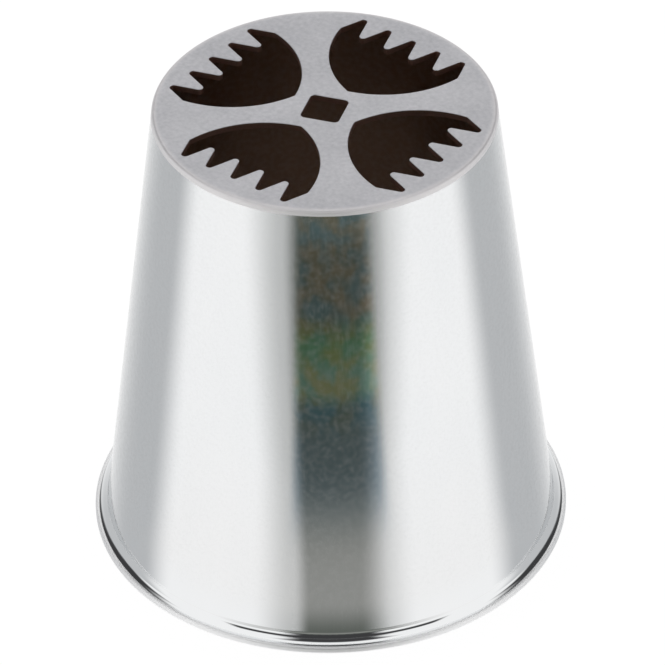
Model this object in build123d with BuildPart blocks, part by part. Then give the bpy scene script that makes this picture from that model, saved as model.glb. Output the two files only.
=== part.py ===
from build123d import *
import os
from math import atan2, cos, degrees, pi, radians, sin, sqrt, tan

# A piping nozzle standing on its wide end, in millimetres.
# The axis is Z, the flared foot rests on the plane Z = 0 and the pierced face is on top.
# One petal of the face points along +X.

# Cone: a drawn sheet shell
nozzle_height = 34.7
face_diameter = 23.8
foot_diameter = 32.4
wall = 0.5

# Lip flared out of the cone's foot: a bend, a narrow flat brim and a rounded edge.
# Its underside is ground flat by a small depth.
lip_bend_radius = 0.78
brim_flat = 0.02
lip_edge_radius = 0.15
lip_grind = 0.05

# Disc that closes the small end
disc_thickness = 0.5
disc_clearance = 0.02

# Weld run between the disc and the cone's mouth
seam_depth = 0.4
seam_edge_radius = 0.25

# Petals cut through the disc
petal_count = 4
petal_inner_reach = 2.6
petal_width = 10.2
petal_side_bulge = 1.07
petal_margin = 0.86
petal_corner_radius = 0.27
notch_count = 5
notch_side_angle = 19.5
flank_share = 0.76

# Square hole in the middle of the face
square_side = 2.75
square_corner_radius = 0.35
square_turn = 20.3

# How far a cutting shape runs past the metal
overrun = 1.0

face_radius = face_diameter / 2
foot_radius = foot_diameter / 2
taper = atan2(foot_radius - face_radius, nozzle_height)
wall_across = wall / cos(taper)


def cone_radius(height):
    """Outer radius of the cone at a height above the foot."""
    return foot_radius - height * tan(taper)


# The wall ends below the face, where the weld run sits on it, and the disc drops into its mouth.
mouth_height = nozzle_height - seam_depth
mouth_radius = cone_radius(mouth_height)
disc_radius = mouth_radius - wall_across - disc_clearance


# Cone body: the outer line of the wall runs down the cone and out along the lip.
# The sheet is sunk by the depth that is ground off, so that the foot ends flat on Z = 0.
brim_height = wall - lip_grind
bend_corner = cone_radius(brim_height)
bend_reach = lip_bend_radius * tan((pi / 2 - taper) / 2)
rim_radius = bend_corner + bend_reach + brim_flat + lip_edge_radius
wall_top = mouth_height + overrun
with BuildPart() as cone_body:
    with BuildSketch(Plane.XZ) as wall_section:
        with BuildLine():
            FilletPolyline(
                (cone_radius(wall_top), wall_top),
                (bend_corner, brim_height),
                (rim_radius, brim_height),
                radius=lip_bend_radius,
            )
            offset(amount=wall, side=Side.RIGHT)
        make_face()
        lip_corners = wall_section.vertices().group_by(Axis.X)[-1]
        fillet(lip_corners, lip_edge_radius)
    revolve(axis=Axis.Z)
    split(bisect_by=Plane.XY.offset(mouth_height), keep=Keep.BOTTOM)
    split(bisect_by=Plane.XY, keep=Keep.TOP)
cone_body.part.label = "cone_body"


# One petal, pointing along +X. Its outer end is a row of notches of one pitch; the last flank
# at each side is cut short by the shoulder, and two bowed sides run from there to the inner point.
half_pitch = petal_width / (notch_count - 1 + flank_share) / 2
slope = tan(radians(notch_side_angle))
outer_notch = (notch_count - 1) * half_pitch
round_centre_reach = sqrt((face_radius - petal_margin - petal_corner_radius) ** 2 - outer_notch**2)
notch_tip = round_centre_reach + petal_corner_radius / sin(radians(notch_side_angle))
notch_root = notch_tip - half_pitch / slope
shoulder = notch_tip - (petal_width / 2 - outer_notch) / slope

notch_line = []
for step in range(2 * notch_count - 1):
    reach = notch_root if step % 2 else notch_tip
    notch_line.append((reach, outer_notch - step * half_pitch))

with BuildSketch() as petal:
    with BuildLine():
        Polyline((shoulder, petal_width / 2), *notch_line, (shoulder, -petal_width / 2))
        SagittaArc((shoulder, -petal_width / 2), (petal_inner_reach, 0), petal_side_bulge)
        SagittaArc((petal_inner_reach, 0), (shoulder, petal_width / 2), petal_side_bulge)
    make_face()
    fillet(petal.vertices(), petal_corner_radius)


# Pattern disc: flat sheet with the petals and the square cut through it.
with BuildPart() as pattern_disc:
    with BuildSketch(Plane.XY.offset(nozzle_height - disc_thickness)):
        Circle(disc_radius)
        with PolarLocations(0, petal_count):
            add(petal.sketch, mode=Mode.SUBTRACT)
        with BuildSketch(mode=Mode.SUBTRACT) as square_hole:
            Rectangle(square_side, square_side, rotation=square_turn)
            fillet(square_hole.vertices(), square_corner_radius)
    extrude(amount=disc_thickness)
pattern_disc.part.label = "pattern_disc"


# Weld seam: it fills the step between the disc's side and the cone's mouth, flush with the face,
# and rounds over to the cone's side.
with BuildPart() as weld_seam:
    with BuildSketch(Plane.XZ) as seam_section:
        with BuildLine():
            Polyline(
                (disc_radius, mouth_height),
                (mouth_radius, mouth_height),
                (face_radius, nozzle_height),
                (disc_radius, nozzle_height),
                close=True,
            )
        make_face()
        face_corner = seam_section.vertices().group_by(Axis.Y)[-1].sort_by(Axis.X)[-1]
        fillet(face_corner, seam_edge_radius)
    revolve(axis=Axis.Z)
weld_seam.part.label = "weld_seam"


os.makedirs("parts", exist_ok=True)
export_step(cone_body.part, "parts/cone_body.step")
export_step(pattern_disc.part, "parts/pattern_disc.step")
export_step(weld_seam.part, "parts/weld_seam.step")
print("notch tips reach", round(round_centre_reach + petal_corner_radius, 3))
print("notch roots", round(notch_root, 3), "shoulder", round(shoulder, 3), "pitch", round(2 * half_pitch, 3))
print("disc radius", round(disc_radius, 3), "mouth radius", round(mouth_radius, 3))
print("cone half angle", round(degrees(taper), 2), "rim diameter", round(2 * rim_radius, 3))
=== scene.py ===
# %% [markdown]
# A piping nozzle, dressed for its photograph.
# The nozzle is a steel shell that stands on its wide, flared end. A pierced disc closes the small end, and
# a weld run holds the disc in the shell's mouth. The CAD model is loaded first and stays fixed. Each of its
# three solids is then replaced by a finer mesh in the same place, because steel shows every facet in what
# it reflects.

from math import asin, atan2, cos, degrees, hypot, pi, radians, sin, sqrt, tan

import bpy
from mathutils import Matrix, Vector


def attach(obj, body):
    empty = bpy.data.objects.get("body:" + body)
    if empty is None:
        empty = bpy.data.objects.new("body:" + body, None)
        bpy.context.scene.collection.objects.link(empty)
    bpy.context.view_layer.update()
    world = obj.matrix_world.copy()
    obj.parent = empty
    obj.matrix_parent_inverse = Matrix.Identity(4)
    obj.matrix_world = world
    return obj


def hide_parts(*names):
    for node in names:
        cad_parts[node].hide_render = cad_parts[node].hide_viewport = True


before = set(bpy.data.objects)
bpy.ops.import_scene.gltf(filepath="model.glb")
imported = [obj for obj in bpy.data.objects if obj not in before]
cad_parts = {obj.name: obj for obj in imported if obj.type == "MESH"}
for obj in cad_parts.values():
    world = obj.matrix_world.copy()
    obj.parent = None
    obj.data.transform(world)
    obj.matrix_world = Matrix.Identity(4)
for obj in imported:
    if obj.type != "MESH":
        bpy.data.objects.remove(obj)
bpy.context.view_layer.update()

# %% [markdown]
# The sizes are the CAD's own, so they are repeated here by name. The solids' boxes could give some of them,
# but not a wall or a bend. Blender works in metres and the nozzle is small, so each size is written in
# millimetres and multiplied once.

# %% Sizes of the shell
MM = 0.001
nozzle_height = 34.7 * MM
face_radius = 11.9 * MM
foot_radius = 16.2 * MM
wall = 0.5 * MM
seam_depth = 0.4 * MM
disc_thickness = 0.5 * MM
disc_clearance = 0.02 * MM

taper = atan2(foot_radius - face_radius, nozzle_height)
wall_across = wall / cos(taper)


def cone_radius(height):
    """Outer radius of the shell at a height above the foot."""
    return foot_radius - height * tan(taper)


mouth_height = nozzle_height - seam_depth
mouth_radius = cone_radius(mouth_height)
disc_radius = mouth_radius - wall_across - disc_clearance
print("half angle of the cone:", round(degrees(taper), 2), "disc radius in mm:", round(disc_radius / MM, 3))

# %% [markdown]
# The camera comes before the shapes, so that every later step can be judged in the photograph's own view.
# It could be placed by eye. Here its place and its long lens were worked out from the outlines of the face,
# the cone and the foot. The nozzle's petals lie on the X and Y axes, so the camera stands at an angle to
# them.

# %% Camera
photo_pixels = 665
focal_pixels = 5654.6
sensor_width = 36
camera_distance = 400 * MM
camera_azimuth = radians(38.52)
camera_elevation = radians(37.713)
camera_roll = radians(-0.8715)
aim_to_right = 0.306 * MM
aim_height = 15.25 * MM
nearest_seen = 10 * MM
farthest_seen = 10000 * MM

upright = Vector((0, 0, 1))
to_right = Vector((cos(camera_azimuth), sin(camera_azimuth), 0))
to_front = Vector((sin(camera_azimuth), -cos(camera_azimuth), 0))
to_camera = to_front * cos(camera_elevation) + upright * sin(camera_elevation)
aim = to_right * aim_to_right + upright * aim_height

picture_up = to_camera.cross(to_right)
picture_right = to_right * cos(camera_roll) + picture_up * sin(camera_roll)
picture_top = picture_up * cos(camera_roll) - to_right * sin(camera_roll)
turned = Matrix((picture_right, picture_top, to_camera)).transposed()

camera = bpy.data.objects.new("photo_camera", bpy.data.cameras.new("photo_camera"))
camera.data.sensor_width = sensor_width
camera.data.lens = focal_pixels * sensor_width / photo_pixels
camera.data.clip_start = nearest_seen
camera.data.clip_end = farthest_seen
camera.matrix_world = Matrix.Translation(aim + to_camera * camera_distance) @ turned.to_4x4()
bpy.context.scene.collection.objects.link(camera)
bpy.context.scene.camera = camera
print("lens in mm:", round(camera.data.lens, 1), "camera stands at", [round(c, 3) for c in camera.location])

# %% [markdown]
# Finishes and ruled shapes are both node trees. They could be clicked together by hand, but a script can be
# read and run again. Two small classes keep it readable. A Wire is the output of a node, and a sum written
# with wires adds the Math nodes for it. A Board is a tree that is being filled, with one method that adds
# any node.

# %% Wires
class Wire:
    """The output of a node. Arithmetic on it adds Math nodes to the same board."""

    def __init__(self, board, socket):
        self.board = board
        self.socket = socket

    def other(self, key):
        """Another output of the node that this wire comes from."""
        return Wire(self.board, self.socket.node.outputs[key])

    def math(self, operation, *values):
        """The output of a Math node that works on the values, in their order."""
        return self.board.add("ShaderNodeMath", {"operation": operation}, dict(enumerate(values)))

    def __add__(self, value):
        return self.math("ADD", self, value)

    def __radd__(self, value):
        return self.math("ADD", value, self)

    def __sub__(self, value):
        return self.math("SUBTRACT", self, value)

    def __rsub__(self, value):
        return self.math("SUBTRACT", value, self)

    def __mul__(self, value):
        return self.math("MULTIPLY", self, value)

    def __rmul__(self, value):
        return self.math("MULTIPLY", value, self)

    def __truediv__(self, value):
        return self.math("DIVIDE", self, value)

    def __rtruediv__(self, value):
        return self.math("DIVIDE", value, self)

    def __pow__(self, value):
        return self.math("POWER", self, value)

    def __abs__(self):
        return self.math("ABSOLUTE", self)

    def __gt__(self, value):
        return self.math("GREATER_THAN", self, value)


print("class ready:", Wire.__name__)

# %% Boards
class Board:
    """A node tree that is being filled."""

    def __init__(self, tree):
        self.tree = tree
        self.tree.nodes.clear()

    def add(self, kind, settings=None, inputs=None, out=0):
        """Adds a node, its settings first, then the values or wires of its sockets. Gives one output."""
        node = self.tree.nodes.new(kind)
        for name, value in (settings or {}).items():
            if name == "stops":
                self.set_stops(node.color_ramp, value)
            else:
                setattr(node, name, value)
        for key, value in (inputs or {}).items():
            for item in value if isinstance(value, list) else [value]:
                if isinstance(item, Wire):
                    self.tree.links.new(item.socket, node.inputs[key])
                else:
                    node.inputs[key].default_value = item
        return Wire(self, node.outputs[out]) if node.outputs else None

    def set_stops(self, ramp, stops):
        """Gives a colour ramp its stops, each a position and a colour."""
        while len(ramp.elements) < len(stops):
            ramp.elements.new(1)
        for element, (position, colour) in zip(ramp.elements, stops):
            element.position = position
            element.color = colour


print("class ready:", Board.__name__)

# %% [markdown]
# Every Geometry Nodes tree here starts with named inputs and ends in the same way. Its copies become real
# geometry, because the export would drop them, and then it gets its finish.

# %% Start and end of a tree
def start_tree(name, inputs, result):
    """A new tree with its named inputs and its result. Gives its board and its first input."""
    tree = bpy.data.node_groups.new(name, "GeometryNodeTree")
    for title, kind in inputs.items():
        tree.interface.new_socket(title, in_out="INPUT", socket_type="NodeSocket" + kind)
    tree.interface.new_socket(result, in_out="OUTPUT", socket_type="NodeSocketGeometry")
    board = Board(tree)
    return board, board.add("NodeGroupInput")


def end_tree(board, geometry, finish):
    """Makes the copies real, gives them their finish and hands them out."""
    whole = board.add("GeometryNodeRealizeInstances", inputs={"Geometry": geometry})
    finished = board.add("GeometryNodeSetMaterial", inputs={"Geometry": whole, "Material": finish})
    board.add("NodeGroupOutput", inputs={0: finished})
    print(board.tree.name, "has", len(board.tree.nodes), "nodes")


print("tree helpers ready:", start_tree.__name__, end_tree.__name__)

# %% [markdown]
# The shell and the weld run are both round, so each is one closed section carried round the axis. A lathe
# or a spin would do it too. Geometry Nodes are used because one tree then serves both pieces, and its inputs
# name what may change: the number of steps round the axis and the finish. The section is drawn flat, with
# its distance from the axis along X and its height along Y.

# %% A tree that turns a section round the axis
turning, given = start_tree(
    "turn_a_section",
    {"Section": "Geometry", "Steps round": "Int", "Finish": "Material"},
    "Turned",
)
axle_radius = 1 * MM
axle = turning.add(
    "GeometryNodeCurvePrimitiveCircle",
    inputs={"Resolution": given.other("Steps round"), "Radius": axle_radius},
)
level = turning.add("GeometryNodeSetCurveNormal", {"mode": "Z_UP"}, {"Curve": axle})
drawn = turning.add("ShaderNodeSeparateXYZ", inputs={0: turning.add("GeometryNodeInputPosition")})
hung = turning.add("ShaderNodeCombineXYZ", inputs={"X": drawn - axle_radius, "Y": 0 - drawn.other("Y")})
placed = turning.add("GeometryNodeSetPosition", inputs={"Geometry": given, "Position": hung})
swept = turning.add("GeometryNodeCurveToMesh", inputs={"Curve": level, "Profile Curve": placed})
end_tree(turning, swept, given.other("Finish"))

# %% [markdown]
# A tree works on an object that holds its input, here a curve. Once the tree has run, its result is copied
# out as a plain mesh and the working object is thrown away, so that no modifier is left on the piece.

# %% Run a tree and keep its mesh
def outline_curve(loop):
    """An object with a closed curve of straight runs through the points of a flat loop."""
    curve = bpy.data.curves.new("outline", "CURVE")
    curve.dimensions = "3D"
    spline = curve.splines.new("POLY")
    spline.points.add(len(loop) - 1)
    for point, (x, y) in zip(spline.points, loop):
        point.co = (x, y, 0, 1)
    spline.use_cyclic_u = True
    worker = bpy.data.objects.new("outline", curve)
    bpy.context.scene.collection.objects.link(worker)
    return worker


def run_tree(board, loop, values, name):
    """The plain mesh that a tree makes of a loop, as a new object at the origin."""
    worker = outline_curve(loop)
    modifier = worker.modifiers.new("tree", "NODES")
    modifier.node_group = board.tree
    for item in board.tree.interface.items_tree:
        if item.name in values:
            modifier[item.identifier] = values[item.name]
    ready = worker.evaluated_get(bpy.context.evaluated_depsgraph_get())
    mesh = bpy.data.meshes.new_from_object(ready)
    bpy.data.objects.remove(worker)
    mesh.name = name
    piece = bpy.data.objects.new(name + "_steel", mesh)
    bpy.context.scene.collection.objects.link(piece)
    return piece


print("tree runner ready:", run_tree.__name__)

# %% [markdown]
# A finished mesh is shaded smoothly, but its true edges stay sharp. It is then measured. The volume is the
# sum of thin wedges from the origin to each triangle, so it comes out above zero only where the faces of a
# closed mesh point outwards.

# %% Shade and measure a piece
def smooth(piece, corner=30):
    """Shades the faces smoothly and keeps edges sharper than the corner angle, in degrees."""
    piece.data.shade_smooth()
    piece.data.set_sharp_from_angle(angle=radians(corner))


def volume_inside(mesh):
    """Volume inside a closed mesh, above zero where its faces point outwards."""
    mesh.calc_loop_triangles()
    total = 0
    for triangle in mesh.loop_triangles:
        first, second, third = (mesh.vertices[index].co for index in triangle.vertices)
        total += first.dot(second.cross(third)) / 6
    return total


def describe(piece):
    """Prints a piece's faces, its reach from the axis, its heights and its volume, in millimetres."""
    corners = [vertex.co / MM for vertex in piece.data.vertices]
    reach = max(corner.xy.length for corner in corners)
    low = min(corner.z for corner in corners)
    high = max(corner.z for corner in corners)
    volume = volume_inside(piece.data) / MM**3
    print(piece.name, "faces", len(piece.data.polygons), "reach", round(reach, 3))
    print("heights", round(low, 3), round(high, 3), "volume", round(volume, 1))


print("measures ready:", describe.__name__)

# %% [markdown]
# The shell is one sheet. Its section is the cone's straight wall, a bend that flares outward, and a narrow
# brim with a rounded edge. The brim's underside was ground flat, so the lower bend is cut at the height of
# the table. The bend's centre lies one bend radius out from the cone and above the brim, and both faces of
# the sheet turn about it. The bends could be bevels of a plain profile, but arcs keep to the CAD's radii.

# %% Bends of the lip
def arc(centre, radius, start, end, steps):
    """Points of an arc from one angle to another, in degrees."""
    points = []
    for step in range(steps + 1):
        angle = radians(start + (end - start) * step / steps)
        points.append((centre[0] + radius * cos(angle), centre[1] + radius * sin(angle)))
    return points


bend_radius = 0.78 * MM
brim_flat = 0.02 * MM
edge_radius = 0.15 * MM
grind = 0.05 * MM

taper_angle = degrees(taper)
brim_height = wall - grind
bend_height = brim_height + bend_radius
bend_centre = cone_radius(bend_height) + bend_radius / cos(taper)
edge_centre = bend_centre + brim_flat
rim_radius = edge_centre + edge_radius

top_bend = arc((bend_centre, bend_height), bend_radius, 180 + taper_angle, 270, steps=18)
top_edge = arc((edge_centre, brim_height - edge_radius), edge_radius, 90, 0, steps=8)

low_centre = brim_height - wall + edge_radius
low_angle = degrees(asin(low_centre / edge_radius))
low_edge = arc((edge_centre, low_centre), edge_radius, 0, -low_angle, steps=6)

low_radius = bend_radius + wall
foot_angle = degrees(asin(bend_height / low_radius))
low_bend = arc((bend_centre, bend_height), low_radius, 180 + foot_angle, 180 + taper_angle, steps=16)
print("rim diameter in mm:", round(2 * rim_radius / MM, 3))

# %% Section of the shell
row_spacing = 0.6 * MM
shading_hold = 0.03 * MM


def run(start, end):
    """Points on a straight run, without its ends. The outer two hold the shading of the bends beside it."""
    length = hypot(end[0] - start[0], end[1] - start[1])
    held = shading_hold / length
    rows = max(int((length - 2 * shading_hold) / row_spacing), 1)
    points = []
    for row in range(rows + 1):
        share = held + (1 - 2 * held) * row / rows
        points.append((start[0] + (end[0] - start[0]) * share, start[1] + (end[1] - start[1]) * share))
    return points


outer_mouth = (mouth_radius, mouth_height)
inner_mouth = (mouth_radius - wall_across, mouth_height)
shell_section = [
    outer_mouth,
    *run(outer_mouth, top_bend[0]),
    *top_bend,
    *top_edge,
    *low_edge,
    *low_bend,
    *run(low_bend[-1], inner_mouth),
    inner_mouth,
]
print("points in the shell's section:", len(shell_section))

# %% [markdown]
# The weld run fills the step between the disc and the shell's mouth. It was dressed flush with the face and
# rounded over to the cone's side. That rounded shoulder is what catches the thin bright line round the face,
# and its finish adds a painted highlight to it. The disc's edge was bevelled for the weld, and the weld
# metal fills the bevel, so no groove shows on the face.

# %% Section of the weld run
edge_break = 0.035 * MM
shoulder_radius = 0.25 * MM
shoulder_start = face_radius - shoulder_radius * tan((pi / 2 - taper) / 2)
shoulder = arc((shoulder_start, nozzle_height - shoulder_radius), shoulder_radius, 90, taper_angle, steps=12)
seam_section = [
    (disc_radius - edge_break, nozzle_height),
    *shoulder,
    outer_mouth,
    (disc_radius, mouth_height),
    (disc_radius, nozzle_height - edge_break),
]
print("points in the seam's section:", len(seam_section))

# %% [markdown]
# A petal of the face is a leaf that points at the middle of the disc. Its outer end is a row of five notches
# of one pitch, with the outermost flanks cut short by a shoulder, and two bowed sides run in to the point.
# Every corner has the same small radius, as a cutting wire leaves it. The outline could be traced, but a
# rule with named sizes gives four equal petals and stays easy to change.

# %% Sizes of the pattern
petal_count = 4
petal_inner_reach = 2.6 * MM
petal_width = 10.2 * MM
side_bulge = 1.07 * MM
petal_margin = 0.86 * MM
corner_radius = 0.27 * MM
notch_count = 5
notch_angle = radians(19.5)
flank_share = 0.76
square_side = 2.75 * MM
square_corner = 0.35 * MM
square_turn = radians(20.3)

half_pitch = petal_width / (notch_count - 1 + flank_share) / 2
outer_notch = (notch_count - 1) * half_pitch
corner_reach = corner_radius / sin(notch_angle)
tip_centre = sqrt((face_radius - petal_margin - corner_radius) ** 2 - outer_notch**2)
notch_tip = tip_centre + corner_reach
notch_root = notch_tip - half_pitch / tan(notch_angle)
shoulder_at = notch_tip - (petal_width / 2 - outer_notch) / tan(notch_angle)
print("notch pitch in mm:", round(2 * half_pitch / MM, 3), "shoulder at", round(shoulder_at / MM, 3))

# %% [markdown]
# The corner circles are found in two ways. Between two straight flanks the circle sits on the line that
# halves the corner. Where a straight or bowed side meets a bowed side, the circle touches the bowed side
# from within, so its centre is one corner radius nearer to the centre of that side's arc.

# %% Centres of the arcs
def bowed_side(start, end, bulge):
    """Centre and radius of the arc that bows out to the left of the way from start to end."""
    chord = end - start
    radius = (chord.length_squared / 4 + bulge**2) / (2 * bulge)
    left = Vector((-chord.y, chord.x)).normalized()
    return start + chord / 2 - left * (radius - bulge), radius


inner_point = Vector((petal_inner_reach, 0))
outer_point = Vector((shoulder_at, petal_width / 2))
side_centre, side_radius = bowed_side(inner_point, outer_point, side_bulge)
radius_left = side_radius - corner_radius

flank_way = Vector((-cos(notch_angle), sin(notch_angle)))
flank_inward = Vector((-sin(notch_angle), -cos(notch_angle)))
flank_start = Vector((notch_tip, outer_notch)) + flank_inward * corner_radius
away = flank_start - side_centre
behind = away.dot(flank_way)
flank_length = sqrt(behind**2 - away.length_squared + radius_left**2) - behind
shoulder_circle = flank_start + flank_way * flank_length
inner_circle = Vector((side_centre.x - sqrt(radius_left**2 - side_centre.y**2), 0))
print("side radius in mm:", round(side_radius / MM, 2))

# %% Upper half of a petal
def turn_between(centre, radius, start, end, steps):
    """Points of the shorter arc round a centre from one point towards another."""
    first = atan2(start[1] - centre[1], start[0] - centre[0])
    last = atan2(end[1] - centre[1], end[0] - centre[0])
    sweep = (last - first + pi) % (2 * pi) - pi
    return arc(centre, radius, degrees(first), degrees(first + sweep), steps)


to_middle = Vector((-1, 0))
on_flank = shoulder_circle - flank_inward * corner_radius
on_side = side_centre + (shoulder_circle - side_centre) * (side_radius / radius_left)
near_point = side_centre + (inner_circle - side_centre) * (side_radius / radius_left)

upper_half = turn_between(inner_circle, corner_radius, inner_circle + to_middle, near_point, steps=5)
upper_half += turn_between(side_centre, side_radius, near_point, on_side, steps=36)[1:]
upper_half += turn_between(shoulder_circle, corner_radius, on_side, on_flank, steps=8)[1:]
print("points so far:", len(upper_half))

# %% [markdown]
# The notches alternate between a tip, where the outline turns round a circle inside the petal, and a root,
# where it turns round a circle in the metal between two notches.

# %% Notches of a petal
root_centre = notch_root + corner_reach
half_turn = 90 - degrees(notch_angle)
notches = []
for step in range(2 * notch_count - 1):
    beside = outer_notch - step * half_pitch
    if step % 2:
        root = (root_centre, beside)
        notches += arc(root, corner_radius, 180 - half_turn, 180 + half_turn, steps=8)
    else:
        tip = (tip_centre, beside)
        notches += arc(tip, corner_radius, half_turn, -half_turn, steps=8)
lower_half = [(x, -y) for x, y in reversed(upper_half[1:])]
petal_loop = [*upper_half, *notches, *lower_half]
print("points in a petal:", len(petal_loop), "reach in mm:", round(max(x for x, y in petal_loop) / MM, 3))

# %% [markdown]
# The outline is set against the CAD solid, because the two must agree: each corner of the solid's petal on
# the +X side should lie on the outline.

# %% Compare the outline with the solid
clear_of_square = 2.3 * MM
clear_of_edge = 10.8 * MM
on_face = nozzle_height - 0.01 * MM


def distance_to_run(place, start, end):
    """Distance from a place to a straight run."""
    way = end - start
    share = min(max((place - start).dot(way) / way.length_squared, 0), 1)
    return (place - start - way * share).length


def distance_to_loop(place, loop):
    """Distance from a place to the nearest run of a closed loop."""
    runs = zip(loop, loop[1:] + loop[:1])
    return min(distance_to_run(place, Vector(start), Vector(end)) for start, end in runs)


petal_corners = []
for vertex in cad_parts["pattern_disc"].data.vertices:
    x, y, z = vertex.co
    if z > on_face and x > abs(y) and x > clear_of_square and hypot(x, y) < clear_of_edge:
        petal_corners.append(Vector((x, y)))
farthest = max(distance_to_loop(corner, petal_loop) for corner in petal_corners)
print("solid corners:", len(petal_corners), "farthest from the outline in mm:", round(farthest / MM, 4))

# %% [markdown]
# The disc is made by a second tree. It copies the petal four times about the axis, adds the square hole and
# the disc's own edge, and then does what a cut sheet does: the edge of the cut follows every outline, and a
# flat face fills the space between them above and below. Boolean cuts would do it too, but they leave long
# thin faces that spoil the shading. Each edge is broken by a very small slope, which glints.

# %% A tree that cuts a pattern through a disc
disc_inputs = {
    "Petal": "Geometry",
    "Petals": "Int",
    "Square side": "Float",
    "Square corner": "Float",
    "Square turn": "Float",
    "Disc radius": "Float",
    "Steps round": "Int",
    "Thickness": "Float",
    "Edge break": "Float",
    "Top height": "Float",
    "Finish": "Material",
}
cutting, given = start_tree("cut_a_pattern", disc_inputs, "Disc")
print("inputs of the cutting tree:", len(disc_inputs))

# %% Outlines of the holes and of the disc
petals = given.other("Petals")
copies = cutting.add(
    "GeometryNodeDuplicateElements", {"domain": "SPLINE"}, {"Geometry": given, "Amount": petals}
)
about_axis = cutting.add(
    "ShaderNodeVectorRotate",
    {"rotation_type": "Z_AXIS"},
    {
        "Vector": cutting.add("GeometryNodeInputPosition"),
        "Angle": copies.other("Duplicate Index") * (2 * pi / petals),
    },
)
placed_petals = cutting.add("GeometryNodeSetPosition", inputs={"Geometry": copies, "Position": about_axis})

square = cutting.add(
    "GeometryNodeCurvePrimitiveQuadrilateral",
    inputs={"Width": given.other("Square side"), "Height": given.other("Square side")},
)
square_corner_steps = 10
round_square = cutting.add(
    "GeometryNodeFilletCurve",
    {"mode": "POLY"},
    {"Curve": square, "Count": square_corner_steps, "Radius": given.other("Square corner")},
)
square_way = cutting.add("ShaderNodeCombineXYZ", inputs={"Z": given.other("Square turn")})
turned_square = cutting.add(
    "GeometryNodeTransform", inputs={"Geometry": round_square, "Rotation": square_way}
)
disc_edge = cutting.add(
    "GeometryNodeCurvePrimitiveCircle",
    inputs={"Resolution": given.other("Steps round"), "Radius": given.other("Disc radius")},
)
backwards = cutting.add("GeometryNodeReverseCurve", inputs={"Curve": disc_edge})
outlines = cutting.add(
    "GeometryNodeJoinGeometry", inputs={"Geometry": [placed_petals, turned_square, backwards]}
)
level_outlines = cutting.add("GeometryNodeSetCurveNormal", {"mode": "Z_UP"}, {"Curve": outlines})
print("nodes so far:", len(cutting.tree.nodes))

# %% [markdown]
# The edge of the cut has four corners, numbered from 0: on the face, at the foot of the slope, at the lower
# slope and on the underside. A short line of four points is moved to them by number, and carried along every
# outline. The outlines all run with the metal on their right, so one direction holds for the holes and for
# the disc's own edge.

# %% Edge of the cut
corner_count = 4
middle_number = (corner_count - 1) / 2
slope = given.other("Edge break")
thickness = given.other("Thickness")
number = cutting.add("GeometryNodeInputIndex")
on_faces = abs(number - middle_number) > 1
lower = number > middle_number
depth = lower * thickness + (1 - on_faces) * slope * (1 - 2 * lower)
corners = cutting.add("ShaderNodeCombineXYZ", inputs={"X": on_faces * slope, "Y": depth})

line = cutting.add("GeometryNodeCurvePrimitiveLine")
points = cutting.add("GeometryNodeResampleCurve", inputs={"Curve": line, "Count": corner_count})
cut_section = cutting.add("GeometryNodeSetPosition", inputs={"Geometry": points, "Position": corners})
carried = cutting.add(
    "GeometryNodeCurveToMesh", inputs={"Curve": level_outlines, "Profile Curve": cut_section}
)
cut_edge = cutting.add("GeometryNodeFlipFaces", inputs={"Mesh": carried})
print("nodes so far:", len(cutting.tree.nodes))

# %% [markdown]
# A flat face fills the outlines, each stepped into the metal by the width of the slope. A turned copy of it
# closes the underside. The faces and the cut edge meet point on point, so merging what lies close together
# makes one closed mesh, which is then lifted to the top of the nozzle.

# %% Flat faces, joined to the edge
joining_distance = 0.002 * MM
stepped_in = cutting.add(
    "ShaderNodeVectorMath",
    {"operation": "SCALE"},
    {0: cutting.add("GeometryNodeInputNormal"), "Scale": slope},
)
face_outlines = cutting.add(
    "GeometryNodeSetPosition", inputs={"Geometry": level_outlines, "Offset": stepped_in}
)
upper_face = cutting.add("GeometryNodeFillCurve", {"mode": "TRIANGLES"}, {"Curve": face_outlines})
turned_over = cutting.add("GeometryNodeFlipFaces", inputs={"Mesh": upper_face})
sunk = cutting.add("ShaderNodeCombineXYZ", inputs={"Z": 0 - thickness})
lower_face = cutting.add("GeometryNodeTransform", inputs={"Geometry": turned_over, "Translation": sunk})
shells = cutting.add("GeometryNodeJoinGeometry", inputs={"Geometry": [cut_edge, upper_face, lower_face]})
closed = cutting.add(
    "GeometryNodeMergeByDistance", inputs={"Geometry": shells, "Distance": joining_distance}
)
raised = cutting.add("ShaderNodeCombineXYZ", inputs={"Z": given.other("Top height")})
lifted = cutting.add("GeometryNodeTransform", inputs={"Geometry": closed, "Translation": raised})
end_tree(cutting, lifted, given.other("Finish"))

# %% [markdown]
# All three finishes are bare steel, so they share their helpers: where a point is on the piece, its distance
# from the axis, and noise that can be stretched along the brushing. An anisotropic shader alone could fake
# brushed steel. Here the marks are real noise, so that they also show up close, and they shift the roughness.

# %% Helpers for finishes
def start_finish(name):
    """A new material, with the board that fills it."""
    material = bpy.data.materials.new(name)
    material.use_nodes = True
    return material, Board(material.node_tree)


def place_on_piece(board):
    """The place of a point on its piece, and the same in parts: X, with Y and Z beside it."""
    place = board.add("ShaderNodeTexCoord", out="Object")
    return place, board.add("ShaderNodeSeparateXYZ", inputs={0: place})


def distance_from_axis(parts):
    """Distance from the nozzle's axis, worked out from a place in parts."""
    return (parts * parts + parts.other("Y") * parts.other("Y")) ** 0.5


def noise(board, place, scale, detail=2.0, roughness=0.5):
    """Noise whose grain has the given number of changes in a metre along X, Y and Z."""
    stretched = board.add("ShaderNodeVectorMath", {"operation": "MULTIPLY"}, {0: place, 1: scale})
    return board.add(
        "ShaderNodeTexNoise",
        inputs={"Vector": stretched, "Scale": 1.0, "Detail": detail, "Roughness": roughness},
        out="Fac",
    )


def even_noise(board, place, scale, detail=2.0, roughness=0.5):
    """Noise with the same grain in all directions."""
    return noise(board, place, (scale, scale, scale), detail, roughness)


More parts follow.
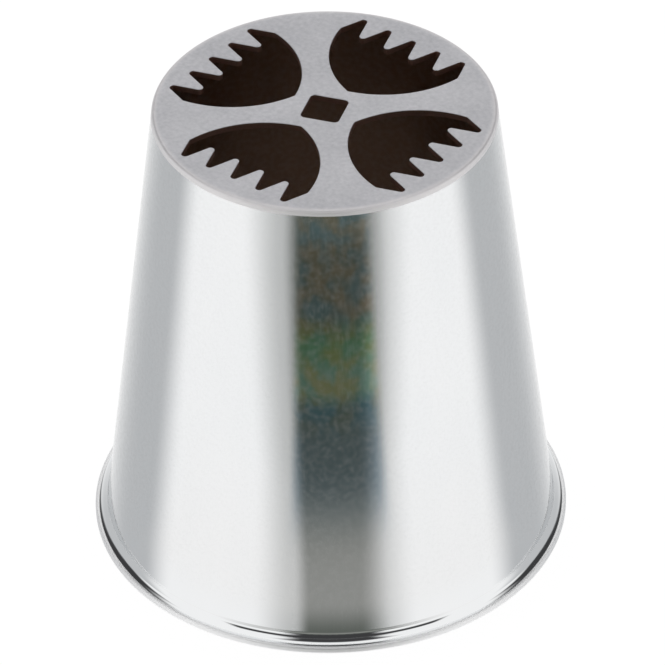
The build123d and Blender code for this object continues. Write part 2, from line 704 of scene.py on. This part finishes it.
print("noise helpers ready:", noise.__name__, even_noise.__name__)

# %% Helpers for colours and steps
def mix_colours(board, share, first, second, blend="MIX"):
    """The first colour where the share is 0, and the second, or its blend with the first, where it is 1."""
    settings = {"data_type": "RGBA", "blend_type": blend}
    return board.add("ShaderNodeMix", settings, {0: share, 6: first, 7: second}, out=2)


def ramp(board, value, low, high):
    """0 up to low, 1 from high, and a soft step between."""
    return board.add(
        "ShaderNodeMapRange",
        {"interpolation_type": "SMOOTHSTEP"},
        {"Value": value, "From Min": low, "From Max": high},
    )


def steel(board, colour, rough, marks, depth, veil=0.0):
    """A bare metal surface, with marks of a depth in metres pressed into it, under a faint matte veil."""
    bump = board.add("ShaderNodeBump", inputs={"Strength": 1.0, "Distance": depth, "Height": marks})
    surface = board.add(
        "ShaderNodeBsdfPrincipled",
        inputs={
            "Base Color": colour,
            "Metallic": 1.0,
            "Roughness": rough,
            "Coat Weight": veil,
            "Coat Roughness": 0.6,
            "Coat IOR": 1.7,
            "Normal": bump,
        },
    )
    board.add("ShaderNodeOutputMaterial", inputs={"Surface": surface})
    print("nodes in the finish:", len(board.tree.nodes))


print("steel helper ready:", steel.__name__)

# %% [markdown]
# The outside of the shell was drawn and then polished on a lathe, so its marks run round it and are finer
# than a tenth of a millimetre. The brim and its edge were only brushed, so they stay satin, and their lighter
# colour is a painted highlight for the white band along the lip. The inside was left as it was drawn: duller,
# darker and browner. Three materials could share the faces between them, but one finish serves all three,
# because the distance from the axis tells where on the sheet a point is, and the change can then be soft.

# %% Colour of the shell
cone_steel, board = start_finish("cone_steel")
place, parts = place_on_piece(board)
from_axis = distance_from_axis(parts)
height = parts.other("Z")

blur = 0.05 * MM
middle_of_wall = foot_radius - wall / 2 - height * tan(taper)
outside = ramp(board, from_axis - middle_of_wall, -blur, blur)
brim_start = rim_radius - 0.30 * MM
brim_full = rim_radius - 0.18 * MM
on_brim = ramp(board, from_axis, brim_start, brim_full)

lathe_marks = noise(board, place, (350, 350, 14000), detail=3)
long_clouds = noise(board, place, (260, 260, 90), detail=2)
polished = mix_colours(board, long_clouds, (0.83, 0.845, 0.855, 1), (0.88, 0.885, 0.89, 1))
as_drawn = mix_colours(board, long_clouds, (0.31, 0.20, 0.145, 1), (0.42, 0.285, 0.20, 1))
# The brim's lighter colour is a painted highlight for the white band along the lip; its roughness is real.
polished_and_painted_brim = mix_colours(board, on_brim, polished, (0.95, 0.95, 0.955, 1))
shell_colour = mix_colours(board, outside, as_drawn, polished_and_painted_brim)
print("nodes so far:", len(board.tree.nodes))

# %% [markdown]
# The polished wall is nearly a mirror. Polishing leaves it very slightly uneven, which breaks up what it
# reflects, and handling leaves a thin patchy veil on it, which only shows where the reflection is dark. Both
# end a few millimetres above the foot, so that the bend stays clean.

# %% Roughness and marks of the shell
polished_rough = 0.02
marks_rough = 0.02
brim_rough = 0.5
drawn_rough = 0.28
marks_share = 0.05
shell_marks_depth = 0.0006 * MM
clean_foot = 2 * MM
whole_wall = 4 * MM
veil_start = 0.3
veil_full = 0.75

shell_rough = polished_rough + (lathe_marks + long_clouds) * marks_rough
shell_rough = shell_rough + on_brim * brim_rough + (1 - outside) * drawn_rough
on_wall = ramp(board, height, clean_foot, whole_wall)
uneven = even_noise(board, place, 2600) * on_wall
handled = even_noise(board, place, 2800, detail=1)
touched = ramp(board, handled, veil_start, veil_full) * on_wall
steel(board, shell_colour, shell_rough, lathe_marks * marks_share + uneven, shell_marks_depth, touched)

# %% [markdown]
# The face was sanded flat after welding, which leaves it matte and a little lavender beside the bright cone.
# Sanding has no one direction, so its grain is even. The weld run was sanded with the face, so one helper
# gives both finishes the sanded colour.

# %% Sanded steel
sanded_rough = 0.5
darkest_sanded = (0.37, 0.375, 0.40, 1)
lightest_sanded = (0.80, 0.79, 0.81, 1)


def sanded(board, place):
    """Colour and grain of the sanded face."""
    grain = even_noise(board, place, 9000, detail=3, roughness=0.6)
    patches = even_noise(board, place, 220, detail=3)
    speckle = even_noise(board, place, 3000)
    share = (patches + speckle) * 0.5
    return mix_colours(board, share, darkest_sanded, lightest_sanded), grain


print("roughness of the sanded steel:", sanded_rough)

# %% [markdown]
# The edge of the cut, below the sanded face, kept the brown skin that cutting left on it. It needs no
# material of its own: the height on the disc tells the face from the cut.

# %% Finish of the face
face_steel, board = start_finish("face_steel")
place, parts = place_on_piece(board)
face_colour, sanding = sanded(board, place)

skin_top = nozzle_height - 0.03 * MM
skin_full = nozzle_height - 0.06 * MM
cut = 1 - ramp(board, parts.other("Z"), skin_full, skin_top)
cut_colour = mix_colours(board, sanding, (0.40, 0.25, 0.20, 1), (0.52, 0.34, 0.27, 1))
grain_rough = 0.06
cut_shine = 0.1
face_rough = sanded_rough + sanding * grain_rough - cut * cut_shine
face_marks_depth = 0.0012 * MM
steel(board, mix_colours(board, cut, face_colour, cut_colour), face_rough, sanding, face_marks_depth)

# %% [markdown]
# The weld run's flat top was sanded with the face. It starts in the sheet's colour, so that no line shows
# where they meet, and grows lighter and warmer outwards, which is a painted highlight. Its rounded shoulder
# was only brushed over, so it stays satin, and its light colour is a painted highlight, the brightest part
# of the face.

# %% Finish of the weld run
seam_steel, board = start_finish("seam_steel")
place, parts = place_on_piece(board)
from_axis = distance_from_axis(parts)
sheet_colour, sanding = sanded(board, place)

# The lighter, warmer colour towards the shoulder is a painted highlight.
painted_warm_highlight = (0.80, 0.77, 0.775, 1)
warm_share = 0.6
warm_full = shoulder_start + 0.12 * MM
outwards = ramp(board, from_axis, disc_radius, warm_full)
seam_colour = mix_colours(board, outwards * warm_share, sheet_colour, painted_warm_highlight)

brushed_highlight_start = shoulder_start + 0.11 * MM
brushed_highlight_full = shoulder_start + 0.21 * MM
rounded = ramp(board, from_axis, brushed_highlight_start, brushed_highlight_full)
buffing = noise(board, place, (900, 900, 9000), detail=3)
# The shoulder's light colour is a painted highlight; its lower roughness is real.
painted_shoulder_highlight = mix_colours(board, buffing, (0.88, 0.86, 0.865, 1), (0.95, 0.935, 0.94, 1))
shoulder_rough = 0.1
seam_rough = sanded_rough + rounded * (1 + buffing) * shoulder_rough
seam_marks_depth = 0.0008 * MM
steel(board, mix_colours(board, rounded, seam_colour, painted_shoulder_highlight), seam_rough, sanding, seam_marks_depth)

# %% [markdown]
# With both trees and the finishes ready, the three pieces are made and measured. Each should fill the same
# box as its CAD solid and hold nearly the same volume of steel. The petal is drawn the other way round, so
# that it runs with the metal on its right.

# %% Make the pieces
steps_round = 256
shell = run_tree(
    turning, shell_section, {"Steps round": steps_round, "Finish": cone_steel}, "cone_body"
)
seam = run_tree(
    turning, seam_section, {"Steps round": steps_round, "Finish": seam_steel}, "weld_seam"
)
disc_sizes = {
    "Petals": petal_count,
    "Square side": square_side,
    "Square corner": square_corner,
    "Square turn": square_turn,
    "Disc radius": disc_radius,
    "Steps round": steps_round,
    "Thickness": disc_thickness,
    "Edge break": edge_break,
    "Top height": nozzle_height,
    "Finish": face_steel,
}
disc = run_tree(cutting, petal_loop[::-1], disc_sizes, "pattern_disc")
for piece in (shell, seam, disc):
    smooth(piece)
    describe(piece)

# %% [markdown]
# Each piece is handed to the frame. It rides on the nozzle's one body, because nothing on a piping nozzle
# moves. It stands for the CAD solid in its place, which is then hidden.

# %% Hand the pieces to the frame
for piece, node, finish_slot in (
    (shell, "cone_body", "cone_steel"),
    (disc, "pattern_disc", "face_steel"),
    (seam, "weld_seam", "seam_steel"),
):
    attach(piece, "root")
    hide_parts(node)
    print(piece.name, "stands for", node)

# %% [markdown]
# The picture stands on plain white. More light would whiten the floor too, but it would also bleach the
# nozzle. So a part of the floor's white is its own colour, for the camera and for the metal alike, and the
# rest is lit and keeps the nozzle's soft shadow. Under the nozzle's foot it has no such white, because that
# would light the inside of the cone.

# %% Finish of the floor
white = (1, 1, 1, 1)
floor_grey = (0.9, 0.9, 0.9, 1)
own_white = 1.04
own_white_share = 0.85
open_start = rim_radius - 0.25 * MM
open_full = rim_radius + 0.06 * MM

floor_finish, board = start_finish("pale_floor")
place, parts = place_on_piece(board)
in_the_open = ramp(board, distance_from_axis(parts), open_start, open_full)
ray = board.add("ShaderNodeLightPath", out="Is Camera Ray")
looked_at = ray + ray.other("Is Glossy Ray") + ray.other("Is Transmission Ray")
lit = board.add("ShaderNodeBsdfDiffuse", inputs={"Color": floor_grey})
own = board.add("ShaderNodeEmission", inputs={"Color": white, "Strength": own_white})
own_share = looked_at * in_the_open * own_white_share
blend = board.add("ShaderNodeMixShader", inputs={0: own_share, 1: lit, 2: own})
board.add("ShaderNodeOutputMaterial", inputs={"Surface": blend})
print("nodes in the floor's finish:", len(board.tree.nodes))

# %% [markdown]
# The wide floor stays out of reflections, because the cards of the next step reach below it and have to be
# seen there. A round of floor just under the foot stays in them, so that the inside of the cone doesn't look
# down into the white room.

# %% Floor
def stage_mesh(name, corners, faces, finish):
    """A mesh of the stage, which isn't part of the nozzle."""
    mesh = bpy.data.meshes.new(name)
    mesh.from_pydata(corners, [], faces)
    mesh.materials.append(finish)
    thing = bpy.data.objects.new(name, mesh)
    bpy.context.scene.collection.objects.link(thing)
    return thing


floor_half = 2000 * MM
floor_ways = ((-1, -1), (1, -1), (1, 1), (-1, 1))
floor_corners = [(x * floor_half, y * floor_half, 0) for x, y in floor_ways]
floor = stage_mesh("pale_floor", floor_corners, [(0, 1, 2, 3)], floor_finish)
floor.visible_glossy = False

round_steps = 96
round_reach = rim_radius + 0.05 * MM
round_lift = 0.01 * MM
round_ways = [2 * pi * step / round_steps for step in range(round_steps)]
round_corners = [(round_reach * cos(way), round_reach * sin(way), round_lift) for way in round_ways]
stage_mesh("floor_under_foot", round_corners, [tuple(range(round_steps))], floor_finish)
print("floor side in metres:", 2 * floor_half, "reach under the foot in mm:", round(round_reach / MM, 2))

# %% [markdown]
# Steel has hardly any colour of its own: what it shows is what stands round it. The photograph's bright and
# dark bands come from the white room with a dark gap towards the camera and grey at the far sides. Painting
# such bands on the steel would look wrong from any other side. So the room is built, with bent cards that
# only reflections can see. Each card is a patch of a large sphere, placed by compass angle from the camera's
# side and by angle above the table, in degrees. Its edges fade to clear.

# %% Finish of a card
def fade_to_clear(board, surface):
    """Ends a card's finish, so that it turns clear where the card isn't solid."""
    clear = board.add("ShaderNodeBsdfTransparent")
    solid = board.add("ShaderNodeAttribute", {"attribute_name": "solid"}, out="Fac")
    faded = board.add("ShaderNodeMixShader", inputs={0: solid, 1: clear, 2: surface})
    board.add("ShaderNodeOutputMaterial", inputs={"Surface": faded})


def card_finish(name, tone):
    """Light of one tone that fades out towards a card's edges."""
    material, board = start_finish(name)
    fade_to_clear(board, board.add("ShaderNodeEmission", inputs={"Color": tone, "Strength": 1.0}))
    return material


gap_finish = card_finish("gap_tone", (0.11, 0.122, 0.108, 1))
dark_finish = card_finish("dark_tone", (0.05, 0.05, 0.052, 1))
pale_finish = card_finish("pale_table", (0.95, 0.92, 0.90, 1))
grey_finish = card_finish("side_tone", (0.52, 0.53, 0.54, 1))
print("card finishes ready:", gap_finish.name, dark_finish.name, pale_finish.name, grey_finish.name)

# %% Places on the sphere
card_reach = 600 * MM
lean_low = -24
lean_high = -20
lean_share = 0.5
widening_share = 0.08
to_the_left = 2.25


def compass(azimuth):
    """Level direction at a compass angle from the camera's side."""
    return to_front * cos(radians(azimuth)) + to_right * sin(radians(azimuth))


def on_sphere(azimuth, elevation):
    """Place on the large sphere, at a compass angle and an angle above the table."""
    return (compass(azimuth) * cos(radians(elevation)) + upright * sin(radians(elevation))) * card_reach


def on_leaning(azimuth, elevation):
    """The same, but narrower towards the table and leaning a little to the right there."""
    above_middle = min(max(elevation, lean_low), lean_high) - (lean_low + lean_high) / 2
    widened = azimuth * (1 + widening_share * above_middle)
    return on_sphere(widened - lean_share * above_middle - to_the_left, elevation)


def on_arch(side, along):
    """Place on the sphere, along the arch that passes overhead from the front, and to a side of it."""
    on_line = to_front * cos(radians(along)) + upright * sin(radians(along))
    return (on_line * cos(radians(side)) + to_right * sin(radians(side))) * card_reach


print("sphere radius in metres:", card_reach)

# %% Places on the table
table_lift = 0.05 * MM
film_lift = 0.15 * MM


def on_table(azimuth, reach):
    """Place just above the table, at a compass angle and a reach from the axis."""
    return compass(azimuth) * reach + upright * table_lift


def on_film(azimuth, reach):
    """The same, a little higher, so that the two layers don't touch."""
    return compass(azimuth) * reach + upright * film_lift


print("layers on the table in mm:", round(table_lift / MM, 2), round(film_lift / MM, 2))

# %% [markdown]
# A card is a grid between four stops each way: where it starts, where it is full, up to where it is full and
# where it ends. Each point of the grid keeps how solid the card is there, and its own two directions for
# colours. A gradient texture could fade the edges too, but it would have to be fitted to each bent card.

# %% Make a card
def grid_line(stops, steps=10):
    """Values along one way of a card, with even steps from each stop to the next."""
    line = [stops[0]]
    for start, end in zip(stops, stops[1:]):
        line += [start + (end - start) * (step + 1) / steps for step in range(steps)]
    return line


def share_between(value, stops):
    """0 outside the stops, 1 between the middle two, and a soft step between."""
    start, full_from, full_to, end = stops
    share = max(min((value - start) / (full_from - start), (end - value) / (end - full_to), 1), 0)
    return share * share * (3 - 2 * share)


def card(name, where, finish, columns, rows, most=1.0):
    """A card that only reflections see, solid up to a share of most."""
    line = grid_line(columns)
    next_line = len(grid_line(rows))
    spots = [(across, along) for across in line for along in grid_line(rows)]
    faces = []
    for column in range(len(line) - 1):
        for row in range(next_line - 1):
            corner = column * next_line + row
            faces.append((corner, corner + next_line, corner + next_line + 1, corner + 1))
    thing = stage_mesh(name, [where(*spot) for spot in spots], faces, finish)
    shares = [most * share_between(across, columns) * share_between(along, rows) for across, along in spots]
    solid = thing.data.attributes.new("solid", "FLOAT", "POINT")
    solid.data.foreach_set("value", shares)
    directions = thing.data.attributes.new("spot", "FLOAT_VECTOR", "POINT")
    directions.data.foreach_set("vector", [number for spot in spots for number in (*spot, 0)])
    thing.visible_camera = False
    thing.visible_diffuse = False
    thing.visible_transmission = False
    thing.visible_shadow = False
    print(name, "columns", columns, "rows", rows)


print("card maker ready:", card.__name__)

# %% [markdown]
# The dark gap is the camera's side of the room. Below, it is the strip down the middle of the cone, with a
# soft shade beside it. Above, it narrows to an arch that passes overhead and grows narrower still, with a
# thin wing to each side, which the lip shows as a dark band and two thin lines. By the foot the table is
# pale again, beyond the nozzle's own shadow.

# %% Dark gap towards the camera
card("gap_below", on_leaning, gap_finish, (-21, -11, 17, 36), (-56, -50, 0, 8))
card("gap_shade", on_leaning, gap_finish, (-46, -19, 24, 52), (-40, -34, 0, 8), most=0.52)
card("gap_over", on_arch, dark_finish, (-24, -13, 16, 25), (-8, 6, 40, 60))
card("gap_high", on_arch, dark_finish, (-17, -10, 12, 18), (40, 50, 74, 88))
card("gap_wings", on_sphere, dark_finish, (-54, -46, 50, 58), (20, 26, 38, 45))

# The pale card fades in only beyond the foot, which paints the nozzle's shadow on the table into what the
# metal reflects.
table_rows = (17.5 * MM, 23 * MM, 24 * MM, 50 * MM)
card("table_front", on_table, pale_finish, (-75, -60, 60, 75), table_rows, most=0.21)

# %% [markdown]
# The gap is not even. The photograph shows it mottled: brown and teal near the face, then green and olive,
# then teal again. A film lies on the table for this. It is clear, so it only tints what is seen through it,
# and the card's own two directions place its colours, which is simpler than painting them.

# %% Colours of the film
film_start = 40 * MM
film_end = 95 * MM
film_length = film_end - film_start
teal = (0.50, 0.60, 0.68, 1)
olive = (0.92, 0.98, 0.76, 1)
green = (0.66, 0.86, 0.50, 1)
brown = (0.64, 0.58, 0.58, 1)
pale = (0.98, 0.92, 0.98, 1)
colours_by_reach = (
    (56 * MM, teal),
    (59 * MM, olive),
    (62 * MM, olive),
    (68 * MM, green),
    (74 * MM, brown),
    (86 * MM, brown),
    (93 * MM, pale),
)
film_stops = [((reach - film_start) / film_length, tone) for reach, tone in colours_by_reach]
print("stops of the film's colours:", [round(position, 2) for position, tone in film_stops])

# %% Tinted film in the gap
film_finish, board = start_finish("gap_film")
spot = board.add("ShaderNodeAttribute", {"attribute_name": "spot"}, out="Vector")
reach = board.add("ShaderNodeSeparateXYZ", inputs={0: spot}).other("Y")
along_film = (reach - film_start) / film_length
by_reach = board.add("ShaderNodeValToRGB", {"stops": film_stops}, {"Fac": along_film})

mottle_start = 48 * MM
mottle_full = 58 * MM
cool_up_to = 0.36
warm_from = 0.64
cool_mottle = (0.62, 0.92, 1.0, 1)
warm_mottle = (1.0, 0.90, 0.66, 1)
warm_share_of_film = ramp(board, noise(board, spot, (0.09, 260, 0)), cool_up_to, warm_from)
mottled = mix_colours(board, warm_share_of_film, cool_mottle, warm_mottle)
mottle = mix_colours(board, ramp(board, reach, mottle_start, mottle_full), white, mottled)
tint = mix_colours(board, 1.0, by_reach, mottle, blend="MULTIPLY")
fade_to_clear(board, board.add("ShaderNodeBsdfTransparent", inputs={"Color": tint}))

film_rows = (30 * MM, 44 * MM, 100 * MM, 110 * MM)
card("gap_film", on_film, film_finish, (-19, -13, 20, 27), film_rows)

# %% [markdown]
# Beyond the two bright sides the room turns grey, and two dark patches stand high at the back, which give
# the lip its dark crescents.

# %% Grey sides and dark patches
card("left_side", on_sphere, grey_finish, (-185, -122, -106, -84), (-62, -56, -22, -14))
card("right_side", on_sphere, grey_finish, (82, 104, 122, 185), (-62, -56, -22, -14))
card("left_haze", on_sphere, grey_finish, (-168, -130, -98, -82), (-24, -16, 30, 38), most=0.9)
card("right_haze", on_sphere, grey_finish, (82, 98, 130, 168), (-24, -16, 30, 38), most=0.9)
card("left_patch", on_sphere, dark_finish, (-168, -158, -118, -104), (27, 34, 50, 58))
card("right_patch", on_sphere, dark_finish, (104, 118, 158, 168), (27, 34, 50, 58))

# %% [markdown]
# The light is an even white room, at the level at which a white card reads as white, with one large soft
# lamp above the nozzle, which lights the floor and the nozzle's soft shadow on it. The bright lip and the
# ring round the face reflect the white room, and their lighter colours are painted highlights. Several small
# lamps would light it too, but each would cast its own shadow. The lamp itself stays out of reflections.

# %% Light
room_light = 1.0
lamp_brightness = 0.5
lamp_width = 300 * MM
lamp_height = 500 * MM

room = bpy.data.worlds.new("white_room")
room.use_nodes = True
board = Board(room.node_tree)
air = board.add("ShaderNodeBackground", inputs={"Color": white, "Strength": room_light})
board.add("ShaderNodeOutputWorld", inputs={"Surface": air})
bpy.context.scene.world = room
bpy.context.scene.view_settings.view_transform = "Standard"

lamp = bpy.data.objects.new("soft_lamp", bpy.data.lights.new("soft_lamp", "AREA"))
lamp.data.shape = "DISK"
lamp.data.size = lamp_width
lamp.data.energy = lamp_brightness * pi * pi * (lamp_width / 2) ** 2
lamp.location = upright * lamp_height
lamp.visible_glossy = False
bpy.context.scene.collection.objects.link(lamp)
print("lamp power in watts:", round(lamp.data.energy, 4))
